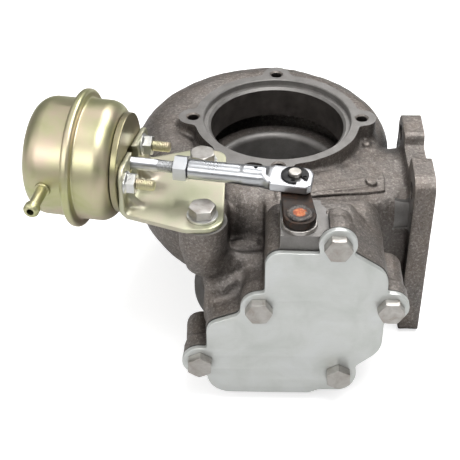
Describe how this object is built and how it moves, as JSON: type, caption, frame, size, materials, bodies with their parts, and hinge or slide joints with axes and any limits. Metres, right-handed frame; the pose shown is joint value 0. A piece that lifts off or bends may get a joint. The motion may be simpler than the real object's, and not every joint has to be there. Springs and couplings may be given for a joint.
{
  "type": "turbocharger turbine housing",
  "caption": "Cast scroll housing for a turbocharger's turbine, with a rectangular inlet flange, a round outlet, and a wastegate worked by a pressure actuator, rod and lever",
  "frame": {"origin": "centre of the machined ring face that the bearing housing bolts to, on the turbine's axis", "axes": "+Z out of the turbine bore along its axis, +X out of the inlet flange, -Y out of the wastegate's cover plate"},
  "size_m": [0.2255, 0.2248, 0.167],
  "materials": {
    "casting": "rough sand-cast iron with machined faces",
    "gasket_steel": "thin layered steel",
    "cover_steel": "pale plated steel",
    "bolt_steel": "plated steel",
    "bush_steel": "turned steel",
    "valve_steel": "heat-resistant steel",
    "rusty_steel": "dark steel with rust and heat colours",
    "pin_steel": "turned steel",
    "black_steel": "black spring steel",
    "bright_zinc": "bright zinc plating",
    "yellow_zinc": "yellow chromated zinc plating",
    "guide_plastic": "black bearing plastic",
    "diaphragm_rubber": "fabric-backed silicone rubber",
    "spring_steel": "spring wire"
  },
  "bodies": {
    "housing": {"turbine_housing": "casting", "cover_gasket": "gasket_steel", "cover_plate": "cover_steel", "cover_bolts": "bolt_steel", "lever_bush": "bush_steel", "actuator_bracket": "yellow_zinc", "bracket_bolts": "bolt_steel", "bracket_washers": "bright_zinc", "can_front_shell": "yellow_zinc", "can_rear_cover": "yellow_zinc", "hose_nipple": "yellow_zinc", "can_mount_plate": "yellow_zinc", "mounting_studs": "yellow_zinc", "flange_nuts": "bright_zinc", "rod_guide": "guide_plastic", "diaphragm": "diaphragm_rubber", "return_spring": "spring_steel"},
    "lever": {"valve_crank": "valve_steel", "wastegate_valve": "valve_steel", "valve_washer": "valve_steel", "wastegate_lever": "rusty_steel", "lever_weld": "rusty_steel", "lever_pin": "pin_steel", "pin_clip": "black_steel"},
    "rod": {"actuator_rod": "bright_zinc", "jam_nut": "bright_zinc", "rod_end": "bright_zinc", "piston_cup": "cover_steel"}
  },
  "joints": [
    {"name": "lever_swing", "type": "hinge", "parent": "housing", "child": "lever", "pos_m": [0.01, -0.1186, 0], "axis": [0, 0, 1], "range_deg": [-30, 0], "deforming": ["return_spring", "diaphragm"]},
    {"name": "rod_pivot", "type": "hinge", "parent": "lever", "child": "rod", "pos_m": [0.00784, -0.09345, 0.02], "axis": [0, 0, 1], "range_deg": [0, 30]}
  ],
  "couplings": [
    {"joint": "rod_pivot", "follows": "lever_swing", "ratio": -1}
  ]
}
